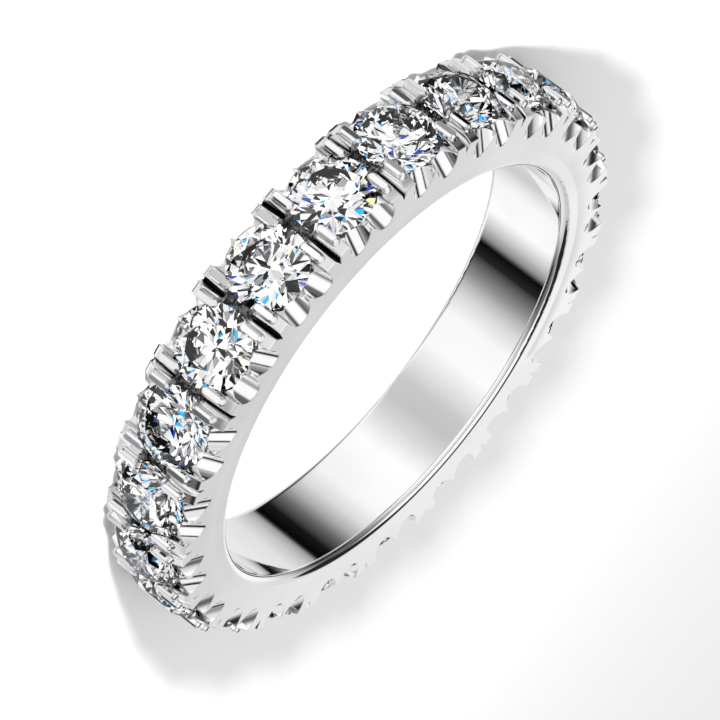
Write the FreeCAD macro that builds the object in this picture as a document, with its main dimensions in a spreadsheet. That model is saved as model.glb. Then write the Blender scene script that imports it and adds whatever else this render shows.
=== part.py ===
import FreeCAD, Part
import math
import os

import Sketcher

V = FreeCAD.Vector

# Eternity ring: a cast hoop with round brilliant stones set all the way round between pairs of claws.
# Millimetres and degrees. The hoop lies on one side face, its axis is Z, and its origin is the middle of
# that face. The first stone looks along +X. Levels are distances from the hoop's axis along a stone's axis.
SIZES = {
    # Hoop
    "bore_radius": 8.65,
    "half_width": 1.8,
    "bore_round": 0.3,
    "shoulder_radius": 11.05,
    "shoulder_drop": 0.14,
    "shoulder_run": 0.36,
    # Metal between a stone's claws, and between two stones
    "land_level": 10.7,
    "land_half_breadth": 1.06,
    "web_level": 10.8,
    "web_half_length": 0.5,
    "web_half_breadth": 0.66,
    "clear_level": 13,
    # Round brilliant stones
    "stone_count": 21,
    "stone_radius": 1.5,
    "girdle_level": 10.84,
    "girdle_height": 0.09,
    "crown_height": 0.44,
    "pavilion_depth": 1.28,
    "table_radius": 0.84,
    "star_share": 0.5,
    "lower_share": 0.77,
    # Seat bored for each stone
    "seat_clearance": 0.03,
    "seat_extra_depth": 0.08,
    "seat_shoulder_rise": 0.43,
    "seat_shoulder_radius": 1.18,
    # Hollow scoops under the stones, on both sides
    "scoop_radius": 0.52,
    "scoop_level": 10.8,
    "scoop_offset": 0.545,
    "scoop_tilt": 56,
    "scoop_splay": 11,
    "scoop_reach": 2.2,
    # Tapering grooves that split the claws of neighbouring stones
    "groove_tip_level": 10.5,
    "groove_tilt": 9,
    "groove_reach": 1.3,
    "groove_depth": 1.2,
    "groove_half_breadth": 0.36,
    # Claws
    "claw_offset": 1.27,
    "claw_radius": 0.18,
    "claw_inner_end": 0.72,
    "claw_outer_end": 1.3,
    "claw_foot_level": 10.85,
    "claw_height": 0.3,
    "claw_crest": 0.08,
    "claw_crest_taper": 42,
}

doc = FreeCAD.newDocument("eternity_ring")
sheet = doc.addObject("Spreadsheet::Sheet", "sizes")
for row, (alias, number) in enumerate(SIZES.items(), start=1):
    sheet.set(f"A{row}", alias)
    sheet.set(f"B{row}", str(number))
    sheet.setAlias(f"B{row}", alias)
doc.recompute()


def size(alias):
    return float(sheet.get(alias))


STONE_COUNT = int(size("stone_count"))
HALF_PITCH = "180 / sizes.stone_count"
SIDES = (1, -1)


def origin_feature(body, role):
    return next(part for part in body.Origin.OriginFeatures if part.Role == role)


def new_sketch(body, name, plane, place=None):
    """Adds an empty sketch on one of the body's own planes, moved by a placement expression."""
    sketch = body.newObject("Sketcher::SketchObject", name)
    sketch.AttachmentSupport = [(origin_feature(body, plane), "")]
    sketch.MapMode = "FlatFace"
    if place:
        sketch.setExpression("AttachmentOffset", place)
    doc.recompute()
    return sketch


def tie(sketch, geometry, point, corner):
    """Ties a point of a sketch to the two sheet formulas of its corner."""
    for kind, axis, formula in (("DistanceX", -2, corner[0]), ("DistanceY", -1, corner[1])):
        distance = sketch.evalExpression(formula)
        if abs(distance) < 1e-9:
            sketch.addConstraint(Sketcher.Constraint("PointOnObject", geometry, point, axis))
            continue
        ends = (-1, 1, geometry, point) if distance > 0 else (geometry, point, -1, 1)
        index = sketch.addConstraint(Sketcher.Constraint(kind, *ends, abs(distance)))
        sketch.setExpression(f"Constraints[{index}]", formula if distance > 0 else f"-({formula})")


def draw_outline(sketch, corners):
    """Draws a closed outline of straight lines through corners given as pairs of sheet formulas."""
    points = [V(sketch.evalExpression(x), sketch.evalExpression(y), 0) for x, y in corners]
    last = len(points) - 1
    for index, point in enumerate(points):
        following = points[0] if index == last else points[index + 1]
        sketch.addGeometry(Part.LineSegment(point, following))
    for index in range(len(points)):
        following = 0 if index == last else index + 1
        sketch.addConstraint(Sketcher.Constraint("Coincident", index, 2, following, 1))
    for index, corner in enumerate(corners):
        tie(sketch, index, 1, corner)


def draw_circle(sketch, radius):
    """Draws a circle of a named radius on the sketch's own origin."""
    circle = sketch.addGeometry(Part.Circle(V(0, 0, 0), V(0, 0, 1), size(radius)))
    sketch.addConstraint(Sketcher.Constraint("Coincident", circle, 3, -1, 1))
    index = sketch.addConstraint(Sketcher.Constraint("Radius", circle, size(radius)))
    sketch.setExpression(f"Constraints[{index}]", f"sizes.{radius}")


def draw_slot(sketch, across, low, high, radius):
    """Draws an upright slot with round ends, whose centres are (across, low) and (across, high)."""
    middle, bottom, top = (sketch.evalExpression(formula) for formula in (across, low, high))
    ends = ((top, 0, math.pi), (bottom, math.pi, 2 * math.pi))
    for centre, first, last in ends:
        circle = Part.Circle(V(middle, centre, 0), V(0, 0, 1), size(radius))
        sketch.addGeometry(Part.ArcOfCircle(circle, first, last))
    for side in (-1, 1):
        edge = middle + side * size(radius)
        start, stop = (top, bottom) if side < 0 else (bottom, top)
        sketch.addGeometry(Part.LineSegment(V(edge, start, 0), V(edge, stop, 0)))
    for joint in ((0, 2, 2, 1), (2, 2, 1, 1), (1, 2, 3, 1), (3, 2, 0, 1)):
        sketch.addConstraint(Sketcher.Constraint("Tangent", *joint))
    index = sketch.addConstraint(Sketcher.Constraint("Radius", 0, size(radius)))
    sketch.setExpression(f"Constraints[{index}]", f"sizes.{radius}")
    tie(sketch, 0, 3, (across, high))
    tie(sketch, 1, 3, (across, low))


def cut_through(body, name, sketch, length):
    """Cuts a sketch's outline through the body, the same distance to both sides of the sketch."""
    pocket = body.newObject("PartDesign::Pocket", name)
    pocket.Profile = sketch
    pocket.SideType = "Symmetric"
    pocket.setExpression("Length", length)
    pocket.Refine = False
    return pocket


def side_name(across, along):
    return f"{'left' if across > 0 else 'right'}_{'upper' if along > 0 else 'lower'}"


def add_hoop(body):
    """The plain hoop: a revolved section with sloping shoulders, and rounded edges at the bore."""
    section = new_sketch(body, "hoop_section", "XZ_Plane")
    bore, face, rim = "sizes.bore_radius", "sizes.half_width", "sizes.shoulder_radius"
    shoulder = "sizes.shoulder_radius - sizes.shoulder_drop"
    crest = "sizes.half_width - sizes.shoulder_run"
    draw_outline(section, [
        (bore, f"-({face})"),
        (shoulder, f"-({face})"),
        (rim, f"-({crest})"),
        (rim, crest),
        (shoulder, face),
        (bore, face),
    ])
    hoop = body.newObject("PartDesign::Revolution", "hoop")
    hoop.Profile = section
    hoop.ReferenceAxis = (section, ["V_Axis"])
    hoop.Angle = 360
    doc.recompute()
    rims = [
        f"Edge{number}"
        for number, edge in enumerate(hoop.Shape.Edges, start=1)
        if isinstance(edge.Curve, Part.Circle) and abs(edge.Curve.Radius - size("bore_radius")) < 1e-6
    ]
    rounds = body.newObject("PartDesign::Fillet", "bore_rounds")
    rounds.Base = (hoop, rims)
    rounds.setExpression("Radius", "sizes.bore_round")
    doc.recompute()


def draw_notch(sketch, level, breadth):
    """Draws an oblong from a level to clear of the hoop, as broad to both sides of the X axis."""
    draw_outline(sketch, [
        (level, f"-({breadth})"),
        ("sizes.clear_level", f"-({breadth})"),
        ("sizes.clear_level", breadth),
        (level, breadth),
    ])


def cut_land(body):
    """Lowers the metal between a stone's claws, all the way across the hoop."""
    sketch = new_sketch(body, "land_outline", "XY_Plane")
    draw_notch(sketch, "sizes.land_level", "sizes.land_half_breadth")
    return cut_through(body, "land", sketch, "4 * sizes.half_width")


def cut_web(body):
    """Lowers the metal between two stones to a narrow web at the height of their girdles."""
    turn = f"placement(vector(0; 0; 0); rotation({HALF_PITCH}; 0; 0))"
    sketch = new_sketch(body, "web_outline", "XY_Plane", turn)
    draw_notch(sketch, "sizes.web_level", "sizes.web_half_breadth")
    return cut_through(body, "web", sketch, "2 * sizes.web_half_length")


def cut_scoops(body):
    """Four hollow scoops to a stone, each leaning in towards the bore and away from its twin."""
    scoops = []
    for along in SIDES:
        for across in SIDES:
            name = side_name(across, along)
            centre = (
                f"vector(sizes.scoop_level; {across} * sizes.scoop_offset; {along} * sizes.half_width)"
            )
            lean = "-sizes.scoop_tilt" if along > 0 else "sizes.scoop_tilt - 180"
            turn = f"rotation({-across} * sizes.scoop_splay; {lean}; 0)"
            sketch = new_sketch(body, f"scoop_outline_{name}", "XY_Plane", f"placement({centre}; {turn})")
            draw_circle(sketch, "scoop_radius")
            scoops.append(cut_through(body, f"scoop_{name}", sketch, "2 * sizes.scoop_reach"))
    return scoops


def cut_grooves(body):
    """A tapering groove on each side between two stones, deepest where it runs out in the side face."""
    grooves = []
    for along in SIDES:
        name = "upper" if along > 0 else "lower"
        tip = (
            f"vector(sizes.groove_tip_level * cos({HALF_PITCH} * 1 deg); "
            f"sizes.groove_tip_level * sin({HALF_PITCH} * 1 deg); {along} * sizes.half_width)"
        )
        turn = f"rotation({HALF_PITCH}; {-along} * sizes.groove_tilt; 0)"
        sketch = new_sketch(body, f"groove_outline_{name}", "XY_Plane", f"placement({tip}; {turn})")
        draw_outline(sketch, [
            ("0", "0"),
            ("sizes.groove_depth", "-sizes.groove_half_breadth"),
            ("sizes.groove_depth", "sizes.groove_half_breadth"),
        ])
        grooves.append(cut_through(body, f"groove_{name}", sketch, "2 * sizes.groove_reach"))
    return grooves


def add_claws(body):
    """Four claws to a stone: round-ended bars that run along the hoop's axis, with a bevelled crest."""
    claws = []
    for along in SIDES:
        for across in SIDES:
            name = side_name(across, along)
            stages = (
                ("claw", "sizes.claw_foot_level", "sizes.claw_height", 0),
                ("claw_crest", "sizes.claw_foot_level + sizes.claw_height", "sizes.claw_crest", 1),
            )
            ends = (f"{along} * sizes.claw_inner_end", f"{along} * sizes.claw_outer_end")
            low, high = ends if along > 0 else reversed(ends)
            for stage, foot, height, tapered in stages:
                place = f"placement(vector(0; 0; {foot}); rotation(0; 0; 0))"
                sketch = new_sketch(body, f"{stage}_outline_{name}", "YZ_Plane", place)
                draw_slot(sketch, f"{across} * sizes.claw_offset", low, high, "claw_radius")
                claw = body.newObject("PartDesign::Pad", f"{stage}_{name}")
                claw.Profile = sketch
                claw.setExpression("Length", height)
                if tapered:
                    claw.setExpression("TaperAngle", "-sizes.claw_crest_taper")
                claw.Refine = False
                claws.append(claw)
    return claws


def cut_seat(body):
    """The stone's seat, turned about the stone's axis, with clearance under the claws' inner ends."""
    section = new_sketch(body, "seat_section", "XZ_Plane")
    wall = "sizes.stone_radius + sizes.seat_clearance"
    draw_outline(section, [
        ("sizes.girdle_level - sizes.pavilion_depth - sizes.seat_extra_depth", "0"),
        ("sizes.girdle_level", wall),
        ("sizes.girdle_level + sizes.girdle_height + sizes.seat_clearance", wall),
        ("sizes.girdle_level + sizes.seat_shoulder_rise", "sizes.seat_shoulder_radius"),
        ("sizes.clear_level", "sizes.seat_shoulder_radius"),
        ("sizes.clear_level", "0"),
    ])
    seat = body.newObject("PartDesign::Groove", "seat")
    seat.Profile = section
    seat.ReferenceAxis = (section, ["H_Axis"])
    seat.Angle = 360
    seat.Refine = False
    return seat


def make_band():
    """The whole casting: the hoop, then one stone's setting repeated round it."""
    body = doc.addObject("PartDesign::Body", "band")
    body.Label = "band"
    add_hoop(body)
    features = [cut_land(body), cut_web(body)]
    features += cut_scoops(body)
    features += cut_grooves(body)
    features += add_claws(body)
    features.append(cut_seat(body))
    doc.recompute()
    settings = body.newObject("PartDesign::PolarPattern", "settings")
    settings.Originals = features
    settings.Axis = (origin_feature(body, "Z_Axis"), [""])
    settings.Angle = 360
    settings.setExpression("Occurrences", "sizes.stone_count")
    settings.Refine = False
    body.Tip = settings
    body.setExpression("Placement.Base.z", "sizes.half_width")
    return body


def ring_of_points(radius, level, count, first_angle=0.0):
    """Points evenly spaced on a circle about the stone's axis, at a distance from the hoop's axis."""
    angles = [math.radians(first_angle + 360 * index / count) for index in range(count)]
    return [V(level, radius * math.cos(angle), radius * math.sin(angle)) for angle in angles]


def level_on_plane(plane, point):
    """Moves a point along the stone's axis on to the plane through three points."""
    normal = (plane[1] - plane[0]).cross(plane[2] - plane[0])
    rest = (point.y - plane[0].y) * normal.y + (point.z - plane[0].z) * normal.z
    return V(plane[0].x - rest / normal.x, point.y, point.z)


def brilliant_shape():
    """A round brilliant: table, 8 stars, 8 kites, 16 upper and 16 lower girdle facets, 8 pavilion mains."""
    girdle = size("girdle_level")
    girdle_top = girdle + size("girdle_height")
    radius = size("stone_radius")
    folds = 8
    step = 360 / folds
    reach = math.cos(math.radians(step / 2))
    table = ring_of_points(size("table_radius"), girdle_top + size("crown_height"), folds)
    culet = V(girdle - size("pavilion_depth"), 0, 0)
    rim_top = ring_of_points(radius, girdle_top, 4 * folds)
    rim_bottom = ring_of_points(radius, girdle, 4 * folds)
    table_edge = size("table_radius") * reach
    star_radius = table_edge + size("star_share") * (radius - table_edge)
    lower_radius = (1 - size("lower_share")) * radius / reach
    stars = ring_of_points(star_radius, girdle_top, folds, step / 2)
    lowers = ring_of_points(lower_radius, girdle, folds, step / 2)
    for fold in range(folds):
        kite_end = rim_top[4 * fold]
        main_end = rim_bottom[4 * fold]
        sideways = V(0, -kite_end.z, kite_end.y)
        stars[fold] = level_on_plane((table[fold], kite_end, kite_end + sideways), stars[fold])
        lowers[fold] = level_on_plane((culet, main_end, main_end + sideways), lowers[fold])
    outlines = [table]
    for fold in range(folds):
        after = (fold + 1) % folds
        star, lower = stars[fold], lowers[fold]
        corner = 4 * fold
        outlines.append([table[fold], star, table[after]])
        outlines.append([table[fold], stars[fold - 1], rim_top[corner], star])
        outlines.append([culet, lowers[fold - 1], rim_bottom[corner], lower])
        for first in (corner, corner + 2):
            middle, last = first + 1, (first + 2) % (4 * folds)
            ends = (first, last)
            top = [rim_top[end] for end in ends]
            bottom = [rim_bottom[end] for end in ends]
            rim_top[middle] = level_on_plane((star, *top), rim_top[middle])
            rim_bottom[middle] = level_on_plane((lower, *bottom), rim_bottom[middle])
            outlines.append([star, top[0], rim_top[middle], top[1]])
            outlines.append([lower, bottom[0], rim_bottom[middle], bottom[1]])
    for index in range(4 * folds):
        after = (index + 1) % (4 * folds)
        outlines.append([rim_top[index], rim_top[after], rim_bottom[after], rim_bottom[index]])
    facets = [Part.Face(Part.makePolygon(outline + outline[:1])) for outline in outlines]
    stone = Part.makeSolid(Part.makeShell(facets))
    if stone.Volume < 0:
        stone.reverse()
    return stone


def make_stones():
    """The stones, turned to their places round the hoop."""
    shape = brilliant_shape()
    stones = []
    for index in range(STONE_COUNT):
        name = f"stone_{index + 1:02d}"
        stone = doc.addObject("Part::Feature", name)
        stone.Label = name
        stone.Shape = shape
        turn = FreeCAD.Rotation(V(0, 0, 1), index * 360 / STONE_COUNT)
        stone.Placement = FreeCAD.Placement(V(0, 0, size("half_width")), turn)
        stones.append(stone)
    return stones


def check(nodes):
    """Stops the script if any object failed or any piece isn't one sound solid."""
    for item in doc.Objects:
        if {"Invalid", "Error"} & set(item.State):
            raise RuntimeError(f"{item.Name} failed: {item.State}")
    for node in nodes:
        shape = node.Shape
        if shape.isNull() or not shape.isValid() or len(shape.Solids) != 1:
            raise RuntimeError(f"{node.Label} isn't one valid solid")


nodes = [make_band()] + make_stones()
doc.recompute()
check(nodes)
os.makedirs("parts", exist_ok=True)
for node in nodes:
    node.Shape.exportStep(f"parts/{node.Label}.step")
    print(f"{node.Label}: {node.Shape.Volume:.3f} mm3")
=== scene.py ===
"""Eternity ring: finishes the cast band and the brilliant stones, and sets up a pale studio round them."""

import math

import bmesh
import bpy
from bpy.props import FloatProperty, FloatVectorProperty, PointerProperty
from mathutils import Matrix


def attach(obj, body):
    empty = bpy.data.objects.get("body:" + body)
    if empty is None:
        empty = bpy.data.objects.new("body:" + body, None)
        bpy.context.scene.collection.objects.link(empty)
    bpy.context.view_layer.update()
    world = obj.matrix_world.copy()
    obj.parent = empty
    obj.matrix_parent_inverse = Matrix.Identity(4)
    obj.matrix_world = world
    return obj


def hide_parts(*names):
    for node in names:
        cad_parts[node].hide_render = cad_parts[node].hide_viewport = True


bl_info = {
    "name": "Eternity Ring",
    "version": (1, 0, 0),
    "blender": (4, 5, 0),
    "location": "3D View > Sidebar > Ring",
    "description": "Polishes the band, clears the stones and lights an eternity ring",
    "category": "Object",
}

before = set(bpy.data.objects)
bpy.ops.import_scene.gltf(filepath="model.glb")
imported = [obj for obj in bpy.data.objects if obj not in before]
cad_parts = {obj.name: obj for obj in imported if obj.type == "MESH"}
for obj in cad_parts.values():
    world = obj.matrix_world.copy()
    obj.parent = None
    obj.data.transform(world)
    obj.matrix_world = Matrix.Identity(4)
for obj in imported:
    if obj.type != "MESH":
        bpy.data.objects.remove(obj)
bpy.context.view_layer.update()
MM = 0.001
STONES = sorted(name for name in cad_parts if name.startswith("stone_"))
PITCH = 2 * math.pi / len(STONES)

# Corners of the casting's faces closer than this are one, and faces thinner than a sliver go
MERGE_REACH = 0.0005 * MM
SLIVER = 0.0002 * MM

# The band's places in millimetres: heights from the middle of its width, radii from its axis
HALF_WIDTH = 1.8
# Start and full extent of the rough metal between the stones, which is rough in fact and darkened with
# painted shade. The gap is a share of the pitch.
WEB_GAP = (0.40, 0.455)
WEB_HEIGHT = (0.78, 0.56)
WEB_RADIUS = (10.45, 10.6)
# Where the side face is flat, where its true section is no longer used, and where the claws' crests start
FLAT_START = (9.0, 9.2)
SECTION_END = (9.3, 9.4)
CREST_START = (10.9, 11.0)
# Slopes of the slight crown that polish leaves on the side faces and on the claws' crests
FACE_CROWN = 0.045
CREST_CROWN = 0.28
# Keeps the sign of a height from being 0 at the middle of the width
OFF_MIDDLE = 0.0001


class Shader:
    """Writes one node tree, with sockets that can be used in sums."""

    def __init__(self, owner):
        owner.use_nodes = True
        self.tree = owner.node_tree
        self.tree.nodes.clear()

    def add(self, kind, settings=None, sockets=None, out=0):
        """Adds a node: its settings first, then the values or links of its sockets. Returns one output."""
        node = self.tree.nodes.new(kind)
        for name, value in (settings or {}).items():
            if name == "stops":
                while len(node.color_ramp.elements) > 1:
                    node.color_ramp.elements.remove(node.color_ramp.elements[-1])
                for index, (place, colour) in enumerate(value):
                    elements = node.color_ramp.elements
                    stop = elements[0] if index == 0 else elements.new(place)
                    stop.position, stop.color = place, colour
            elif name == "ramp_interpolation":
                node.color_ramp.interpolation = value
            else:
                setattr(node, name, value)
        for name, value in (sockets or {}).items():
            socket = node.inputs[name]
            if isinstance(value, Wire):
                self.tree.links.new(value.socket, socket)
            else:
                socket.default_value = value
        return Wire(self, node.outputs[out]) if len(node.outputs) else node

    def soft_step(self, value, low, high, first=0.0, last=1.0):
        """Goes smoothly from first to last as the value goes from low to high."""
        return self.add(
            "ShaderNodeMapRange",
            {"interpolation_type": "SMOOTHSTEP"},
            {"Value": value, "From Min": low, "From Max": high, "To Min": first, "To Max": last},
        )

    def blend(self, share, first, second):
        """Mixes two colours."""
        return self.add("ShaderNodeMix", {"data_type": "RGBA"}, {0: share, 6: first, 7: second}, out=2)

    def blend_ways(self, share, first, second):
        """Mixes two directions."""
        return self.add("ShaderNodeMix", {"data_type": "VECTOR"}, {0: share, 4: first, 5: second}, out=1)

    def noise(self, place, scale, detail, roughness):
        """A soft random pattern."""
        return self.add(
            "ShaderNodeTexNoise", None,
            {"Vector": place, "Scale": scale, "Detail": detail, "Roughness": roughness},
        )

    def ramp(self, value, stops, interpolation):
        """Colours by value, through stops of a value and a colour."""
        settings = {"stops": stops, "ramp_interpolation": interpolation}
        return self.add("ShaderNodeValToRGB", settings, {0: value})

    def bump(self, height, normal, strength=1.0, distance=MM):
        """Tilts the normal by the slope of a height."""
        return self.add(
            "ShaderNodeBump", None,
            {"Strength": strength, "Distance": distance, "Height": height, "Normal": normal},
        )


class Wire:
    """A socket of a node tree. Sums on it add Math nodes."""

    def __init__(self, shader, socket):
        self.shader, self.socket = shader, socket

    def sibling(self, name):
        return Wire(self.shader, self.socket.node.outputs[name])

    def maths(self, operation, *values):
        return self.shader.add("ShaderNodeMath", {"operation": operation}, dict(enumerate(values)))

    def __add__(self, other):
        return self.maths("ADD", self, other)

    def __radd__(self, other):
        return self.maths("ADD", other, self)

    def __sub__(self, other):
        return self.maths("SUBTRACT", self, other)

    def __rsub__(self, other):
        return self.maths("SUBTRACT", other, self)

    def __mul__(self, other):
        return self.maths("MULTIPLY", self, other)

    def __rmul__(self, other):
        return self.maths("MULTIPLY", other, self)

    def __truediv__(self, other):
        return self.maths("DIVIDE", self, other)

    def __abs__(self):
        return self.maths("ABSOLUTE", self)

    def at_most(self, limit):
        return self.maths("MINIMUM", self, limit)

    def at_least(self, limit):
        return self.maths("MAXIMUM", self, limit)

    def sign(self):
        return self.maths("SIGN", self)

    def root(self):
        return self.maths("SQRT", self)

    def angle(self, across):
        return self.maths("ARCTAN2", self, across)

    def fraction(self):
        return self.maths("FRACT", self)


def grey(tone):
    return (tone, tone, tone, 1)


class MetalSettings(bpy.types.PropertyGroup):
    silver: FloatVectorProperty(
        name="Silver", description="Colour of the polished metal", subtype="COLOR", size=3,
        default=(0.93, 0.93, 0.94), min=0, max=1,
    )
    gloss_roughness: FloatProperty(
        name="Polish", description="Roughness of the polished metal", default=0.045, min=0, max=1,
    )
    web_roughness: FloatProperty(
        name="Web roughness", description="Roughness of the unpolished metal between the stones",
        default=0.62, min=0, max=1,
    )
    edge_round: FloatProperty(
        name="Edge round", description="How far the polish rounds the edges",
        subtype="DISTANCE", unit="LENGTH", default=0.06 * MM, min=0,
    )
    # Reach of the painted shade in recesses
    recess_shade_reach: FloatProperty(
        name="Recess reach", description="How far the dark of a recess spreads",
        subtype="DISTANCE", unit="LENGTH", default=0.16 * MM, min=0,
    )
    round_radius: FloatProperty(
        name="Round radius", description="Where the rounds of the bore end in the side faces, in millimetres",
        default=8.95, min=0,
    )
    round_height: FloatProperty(
        name="Round height", description="Where the rounds leave the bore wall, in millimetres off mid-width",
        default=1.5, min=0,
    )
    smooth_angle: FloatProperty(
        name="Smooth angle", description="Faces that meet at less than this are shaded smooth",
        subtype="ANGLE", unit="ROTATION", default=math.radians(28),
    )


class StoneSettings(bpy.types.PropertyGroup):
    tint: FloatVectorProperty(
        name="Tint", description="Colour of the stones", subtype="COLOR", size=3,
        default=(0.985, 0.99, 1.0), min=0, max=1,
    )
    ior: FloatProperty(
        name="Refraction", description="Index of refraction of the stones", default=2.3, min=1, max=3,
    )
    glare: FloatProperty(
        name="Glare", description="Share of the outer reflection that shows", default=0.3, min=0, max=1,
    )


class StudioSettings(bpy.types.PropertyGroup):
    camera_place: FloatVectorProperty(
        name="Camera", description="Place of the camera", subtype="XYZ", unit="LENGTH", size=3,
        default=(0.067391, 0.181888, 0.080090),
    )
    camera_turn: FloatVectorProperty(
        name="Camera turn", description="Turn of the camera", subtype="EULER", unit="ROTATION", size=3,
        default=tuple(math.radians(turn) for turn in (-56.5263, -47.4146, -46.4058)),
    )
    lens: FloatProperty(
        name="Lens", description="Focal length in millimetres", default=300, min=1,
    )
    floor_side: FloatProperty(
        name="Floor", description="Side of the floor", subtype="DISTANCE", unit="LENGTH", default=4, min=0.1,
    )
    floor_drop: FloatProperty(
        name="Floor drop", description="Gap under the ring", subtype="DISTANCE", unit="LENGTH",
        default=0.01 * MM, min=0,
    )
    room_light: FloatProperty(
        name="Room light", description="Strength of the pale room", default=1.0, min=0,
    )
    floor_light: FloatProperty(
        name="Floor light", description="Strength of the even light on the floor", default=0.68, min=0,
    )
    key_power: FloatProperty(
        name="Key light", description="Strength of the high key light", default=0.6, min=0,
    )
    key_spread: FloatProperty(
        name="Key spread", description="Width of the key light as the ring sees it",
        subtype="ANGLE", unit="ROTATION", default=math.radians(24), min=0,
    )
    key_turn: FloatVectorProperty(
        name="Key turn", description="Turn of the key light", subtype="EULER", unit="ROTATION", size=3,
        default=(math.radians(30), 0, math.radians(160)),
    )
    lamp_power: FloatProperty(
        name="Lamp power", description="Power of the small low lamp, in watts", default=0.28, min=0,
    )
    lamp_place: FloatVectorProperty(
        name="Lamp place", description="Place of the small low lamp", subtype="XYZ", unit="LENGTH", size=3,
        default=(10.4 * MM, 28.1 * MM, 13 * MM),
    )
    lamp_radius: FloatProperty(
        name="Lamp radius", description="Radius of the small low lamp", subtype="DISTANCE", unit="LENGTH",
        default=3.5 * MM, min=0,
    )


def polished_metal(settings):
    """White silver: mirror polish with faint wheel lines, and rough metal between the stones, darkened with
    painted shade.
    """
    material = bpy.data.materials.new("polished_silver")
    shade = Shader(material)
    place = shade.add("ShaderNodeTexCoord", out="Object")
    x = shade.add("ShaderNodeSeparateXYZ", sockets={0: place})
    y, z = x.sibling("Y"), x.sibling("Z")
    radius = (x * x + y * y).root() / MM
    rise = z / MM - HALF_WIDTH
    height = abs(rise)
    # 0 at a stone's middle, 0.5 halfway to the next one
    gap = abs((y.angle(x) / PITCH + len(STONES) + 0.5).fraction() - 0.5)
    # Mask of the rough metal between the stones: its roughness and bumps are real, its dark colour is painted
    # shade
    rough_shaded_web = (
        shade.soft_step(gap, *WEB_GAP)
        * shade.soft_step(height, *WEB_HEIGHT)
        * shade.soft_step(radius, *WEB_RADIUS)
    )
    lines = shade.noise(place, scale=900, detail=3, roughness=0.6)
    clouds = shade.noise(place, scale=260, detail=2, roughness=0.5)
    pits = shade.noise(place, scale=6500, detail=4, roughness=0.7)
    grains = shade.add(
        "ShaderNodeTexVoronoi", {"feature": "F1"}, {"Vector": place, "Scale": 9000.0, "Randomness": 1.0}
    )

    # Colour, painted shade in recesses, and polish
    silver = tuple(settings.silver)
    bright = (*silver, 1)
    worn = (*(0.94 * tone for tone in silver), 1)
    base = shade.blend(shade.soft_step(clouds, 0.35, 0.65), worn, bright)
    # Painted shade: the rough metal between the stones is coloured near black to mid grey, for the shade that
    # falls in the narrow gaps
    web_shade_colour = shade.blend(shade.soft_step(pits, 0.42, 0.62), grey(0.05), grey(0.5))
    # Painted shade: ambient occlusion darkens the colour to near black in recesses, such as under the claws'
    # ends and in the grooves
    recess = shade.add(
        "ShaderNodeAmbientOcclusion", {"samples": 6, "only_local": True}, {"Distance": settings.recess_shade_reach},
        out="AO",
    )
    base = shade.blend(shade.soft_step(recess, 0.72, 0.45), base, grey(0.03))
    colour = shade.blend(rough_shaded_web, base, web_shade_colour)
    polish = settings.gloss_roughness * (0.7 + 0.6 * lines)
    roughness = polish * (1 - rough_shaded_web) + settings.web_roughness * rough_shaded_web

    # Polished edges and faint wheel lines
    edges = shade.add("ShaderNodeBevel", {"samples": 4}, {"Radius": settings.edge_round})
    normal = shade.bump(lines, edges, strength=0.02, distance=0.02 * MM)
    # The bore wall, its rounds and the flat of the side faces follow their true section
    inward = (radius - settings.round_radius).at_most(0)
    upward = (height - settings.round_height).at_least(0) + shade.soft_step(radius, *FLAT_START)
    upward = upward * (rise - OFF_MIDDLE).sign()
    section = shade.add(
        "ShaderNodeCombineXYZ", None, {0: x / MM / radius * inward, 1: y / MM / radius * inward, 2: upward}
    )
    section = shade.add(
        "ShaderNodeVectorTransform",
        {"vector_type": "NORMAL", "convert_from": "OBJECT", "convert_to": "WORLD"}, {0: section},
    )
    normal = shade.blend_ways(1 - shade.soft_step(radius, *SECTION_END), normal, section)
    face_crown = shade.bump(radius * -FACE_CROWN, normal)
    crest_crown = shade.bump(height * -CREST_CROWN, normal)
    normal = shade.blend_ways(shade.soft_step(radius, *CREST_START), face_crown, crest_crown)
    normal = shade.bump((grains + pits) * rough_shaded_web, normal, strength=0.9, distance=0.08 * MM)

    surface = shade.add(
        "ShaderNodeBsdfPrincipled", None,
        {"Base Color": colour, "Roughness": roughness, "Metallic": 1.0, "Normal": normal},
    )
    shade.add("ShaderNodeOutputMaterial", None, {"Surface": surface})
    return material


def clear_stone(settings):
    """Clear colourless stone with a faint cloud of inclusions."""
    material = bpy.data.materials.new("clear_stone")
    shade = Shader(material)
    place = shade.add("ShaderNodeTexCoord", out="Object")
    clouds = shade.noise(place, scale=700, detail=2, roughness=0.5)
    tint = tuple(settings.tint)
    clear = (*tint, 1)
    cloudy = (*(0.95 * tone for tone in tint), 1)
    colour = shade.blend(shade.soft_step(clouds, 0.3, 0.7), cloudy, clear)
    surface = shade.add(
        "ShaderNodeBsdfPrincipled", None,
        {
            "Base Color": colour, "Roughness": 0.0, "IOR": settings.ior, "Transmission Weight": 1.0,
            "Specular Tint": grey(settings.glare),
        },
    )
    shade.add("ShaderNodeOutputMaterial", None, {"Surface": surface})
    return material


def dress(piece, material):
    """Gives a piece one material in place of its own."""
    piece.data.materials.clear()
    piece.data.materials.append(material)


def place_lamp(scene, light, place, turn=(0, 0, 0)):
    """Hangs a light that only rough surfaces, such as the floor, show."""
    lamp = bpy.data.objects.new(light.name, light)
    lamp.location = place
    lamp.rotation_euler = turn
    scene.collection.objects.link(lamp)
    lamp.visible_camera = lamp.visible_glossy = lamp.visible_transmission = False


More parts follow.
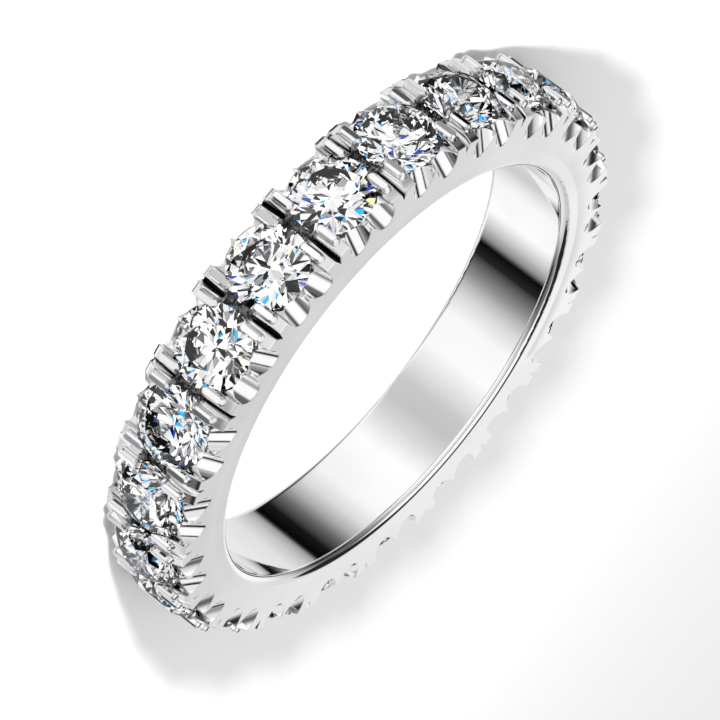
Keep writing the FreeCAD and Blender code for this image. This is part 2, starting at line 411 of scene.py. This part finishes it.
class RING_OT_polish_band(bpy.types.Operator):
    """Makes the polished band: the casting with its edges kept and its curved walls shaded smooth"""

    bl_idname = "ring.polish_band"
    bl_label = "Polish the band"

    def execute(self, context):
        settings = context.scene.ring_metal
        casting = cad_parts["band"]
        mesh = bpy.data.meshes.new("polished_band")
        work = bmesh.new()
        work.from_mesh(casting.data)
        bmesh.ops.remove_doubles(work, verts=work.verts, dist=MERGE_REACH)
        bmesh.ops.dissolve_degenerate(work, edges=work.edges, dist=SLIVER)
        for face in work.faces:
            face.smooth = True
        for edge in work.edges:
            edge.smooth = len(edge.link_faces) == 2 and edge.calc_face_angle(0) < settings.smooth_angle
        work.to_mesh(mesh)
        work.free()
        band = bpy.data.objects.new("polished_band", mesh)
        context.scene.collection.objects.link(band)
        dress(band, polished_metal(settings))
        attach(band, "root")
        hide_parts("band")
        return {"FINISHED"}


class RING_OT_clear_stones(bpy.types.Operator):
    """Gives the cut stones their clear material"""

    bl_idname = "ring.clear_stones"
    bl_label = "Clear the stones"

    def execute(self, context):
        material = clear_stone(context.scene.ring_stone)
        for name in STONES:
            dress(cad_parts[name], material)
        return {"FINISHED"}


# What the polished metal mirrors low down: a tone for each direction round the ring, in degrees. The two dips
# to 0 are the room's dark flags.
LOW_TONES = (
    (0, 0.80), (10, 1.02), (36, 1.08), (50, 0.78), (60, 0.62), (70, 0.66), (80, 0.88), (90, 1.08),
    (108, 1.04), (120, 0.72), (131, 0.28), (142, 0.02), (150, 0.0), (153, 0.3), (162, 0.75), (170, 1.08),
    (190, 1.02), (200, 0.84), (210, 0.64), (230, 0.75), (260, 0.85), (290, 0.87), (306, 0.82), (316, 0.62),
    (322, 0.4), (325, 0.0), (335, 0.01), (344, 0.15), (352, 0.48), (360, 0.80),
)
# The same for what it mirrors high up
HIGH_TONES = (
    (0, 0.3), (15, 0.8), (35, 1.1), (67, 1.2), (100, 1.1), (118, 0.75), (130, 0.25), (140, 0.03),
    (160, 0.03), (172, 0.35), (185, 0.85), (215, 0.85), (236, 0.72), (250, 0.93), (262, 1.05), (285, 1.0),
    (300, 0.7), (315, 0.2), (325, 0.03), (345, 0.03), (360, 0.3),
)
# Heights of a direction, from -1 straight down to 1 straight up: where the low tones give way to the high
# ones, where these turn grey, and where the bright ceiling starts
HIGH_START = (-0.08, 0.08)
GREY_START = (0.28, 0.47)
CEILING_START = (0.72, 0.9)
# Way from the ring to the camera, level
CAMERA_WAY = (0.347, 0.938, 0)
# What the cut stones gather from: a share of the room, and its colour. Blues and yellows make their fire.
SPARKLE = (
    (0.0, grey(0.0)), (0.23, grey(0.12)), (0.28, grey(0.4)), (0.36, grey(0.75)), (0.44, grey(0.95)),
    (0.62, grey(1.4)), (0.886, (0.02, 0.6, 1.3, 1)), (0.924, (0.02, 0.08, 0.6, 1)),
    (0.931, (1.5, 1.35, 0.6, 1)), (0.936, (1.4, 1.1, 0.85, 1)), (0.941, grey(1.4)),
)
SPARKLE_HAZE = (0.62, 0.63, 0.68, 1)


def by_direction(tones):
    """Ramp stops over a whole turn, from tones by degree."""
    return [(place / 360, grey(tone)) for place, tone in tones]


def studio_world(settings):
    """The pale room: even for the floor, dark flags for the metal and sharp contrast for the stones."""
    world = bpy.data.worlds.new("pale_room")
    shade = Shader(world)
    direction = shade.add("ShaderNodeTexCoord", out="Generated")
    x = shade.add("ShaderNodeSeparateXYZ", sockets={0: direction})
    y, z = x.sibling("Y"), x.sibling("Z")

    # For the metal
    turn = (y.angle(x) / (2 * math.pi) + 1).fraction()
    low = shade.ramp(turn, by_direction(LOW_TONES), "LINEAR")
    high = shade.ramp(turn, by_direction(HIGH_TONES), "LINEAR")
    high = shade.blend(shade.soft_step(z, *GREY_START, 0.0, 0.35), high, grey(0.35))
    high = shade.blend(shade.soft_step(z, *CEILING_START), high, grey(1.1))
    metal = shade.blend(shade.soft_step(z, *HIGH_START), low, high)
    toward = shade.add(
        "ShaderNodeVectorMath", {"operation": "DOT_PRODUCT"}, {0: direction, 1: CAMERA_WAY}, out="Value"
    )
    # Two dark strips overhead, one behind the ring and one before it
    behind = (
        shade.soft_step(toward, -0.2, -0.34) * shade.soft_step(z, 0.54, 0.6) * shade.soft_step(z, 0.93, 0.87)
    )
    before = (
        shade.soft_step(toward, 0.2, 0.3) * shade.soft_step(z, 0.8, 0.83) * shade.soft_step(z, 0.9, 0.87)
    )
    metal = shade.blend(behind + before, metal, grey(0.02))

    # For the stones
    cells = shade.add(
        "ShaderNodeTexVoronoi", {"feature": "F1"}, {"Vector": direction, "Scale": 6.5, "Randomness": 1.0},
        out="Color",
    )
    chance = shade.add("ShaderNodeSeparateColor", None, {0: cells})
    sparkle = shade.ramp(chance, SPARKLE, "CONSTANT")
    haze = shade.noise(direction, scale=5, detail=1, roughness=0.5)
    sparkle = shade.blend(shade.soft_step(haze, 0.4, 0.66, 0, 0.06), sparkle, SPARKLE_HAZE)

    mirrored = shade.add("ShaderNodeLightPath", out="Is Glossy Ray")
    through = mirrored.sibling("Is Transmission Ray")
    colour = shade.blend(mirrored, grey(settings.floor_light), metal)
    colour = shade.blend(through, colour, sparkle)
    surface = shade.add("ShaderNodeBackground", None, {"Color": colour, "Strength": settings.room_light})
    shade.add("ShaderNodeOutputWorld", None, {"Surface": surface})
    return world


class RING_OT_set_stage(bpy.types.Operator):
    """Sets up the pale floor, the lights and the camera"""

    bl_idname = "ring.set_stage"
    bl_label = "Set the stage"

    def execute(self, context):
        scene = context.scene
        settings = scene.ring_studio
        mesh = bpy.data.meshes.new("floor")
        work = bmesh.new()
        bmesh.ops.create_grid(work, x_segments=1, y_segments=1, size=settings.floor_side / 2)
        bmesh.ops.translate(work, verts=work.verts, vec=(0, 0, -settings.floor_drop))
        work.to_mesh(mesh)
        work.free()
        floor = bpy.data.objects.new("floor", mesh)
        scene.collection.objects.link(floor)
        paper = bpy.data.materials.new("floor_paper")
        shade = Shader(paper)
        surface = shade.add(
            "ShaderNodeBsdfPrincipled", None,
            {"Base Color": grey(0.9), "Roughness": 1.0, "Specular IOR Level": 0.0},
        )
        shade.add("ShaderNodeOutputMaterial", None, {"Surface": surface})
        dress(floor, paper)
        floor.visible_glossy = floor.visible_transmission = False

        # A high even key, and a small low lamp on the camera's side that lays a soft shadow behind the ring
        key = bpy.data.lights.new("key", "SUN")
        key.energy = settings.key_power
        key.angle = settings.key_spread
        place_lamp(scene, key, (0, 0, 0.1), settings.key_turn)
        low = bpy.data.lights.new("low_lamp", "POINT")
        low.energy = settings.lamp_power
        low.shadow_soft_size = settings.lamp_radius
        place_lamp(scene, low, settings.lamp_place)

        scene.world = studio_world(settings)

        lens = bpy.data.cameras.new("camera")
        lens.lens = settings.lens
        lens.clip_start, lens.clip_end = 0.01, 10
        camera = bpy.data.objects.new("camera", lens)
        camera.location = settings.camera_place
        camera.rotation_euler = settings.camera_turn
        scene.collection.objects.link(camera)
        scene.camera = camera
        scene.view_settings.view_transform = "Standard"
        scene.view_settings.look = "None"
        return {"FINISHED"}


class RING_PT_panel(bpy.types.Panel):
    """Lists the ring's steps and sizes"""

    bl_label = "Eternity Ring"
    bl_idname = "RING_PT_panel"
    bl_space_type = "VIEW_3D"
    bl_region_type = "UI"
    bl_category = "Ring"

    def draw(self, context):
        scene = context.scene
        parts = (
            ("ring_metal", RING_OT_polish_band.bl_idname),
            ("ring_stone", RING_OT_clear_stones.bl_idname),
            ("ring_studio", RING_OT_set_stage.bl_idname),
        )
        for group, operator in parts:
            box = self.layout.box()
            settings = getattr(scene, group)
            for name in settings.__annotations__:
                box.prop(settings, name)
            box.operator(operator)


CLASSES = (
    MetalSettings,
    StoneSettings,
    StudioSettings,
    RING_OT_polish_band,
    RING_OT_clear_stones,
    RING_OT_set_stage,
    RING_PT_panel,
)


def register():
    for kind in CLASSES:
        bpy.utils.register_class(kind)
    bpy.types.Scene.ring_metal = PointerProperty(type=MetalSettings)
    bpy.types.Scene.ring_stone = PointerProperty(type=StoneSettings)
    bpy.types.Scene.ring_studio = PointerProperty(type=StudioSettings)


def unregister():
    del bpy.types.Scene.ring_studio
    del bpy.types.Scene.ring_stone
    del bpy.types.Scene.ring_metal
    for kind in reversed(CLASSES):
        bpy.utils.unregister_class(kind)


def main():
    register()
    bpy.ops.ring.polish_band()
    bpy.ops.ring.clear_stones()
    bpy.ops.ring.set_stage()


if __name__ == "__main__":
    main()
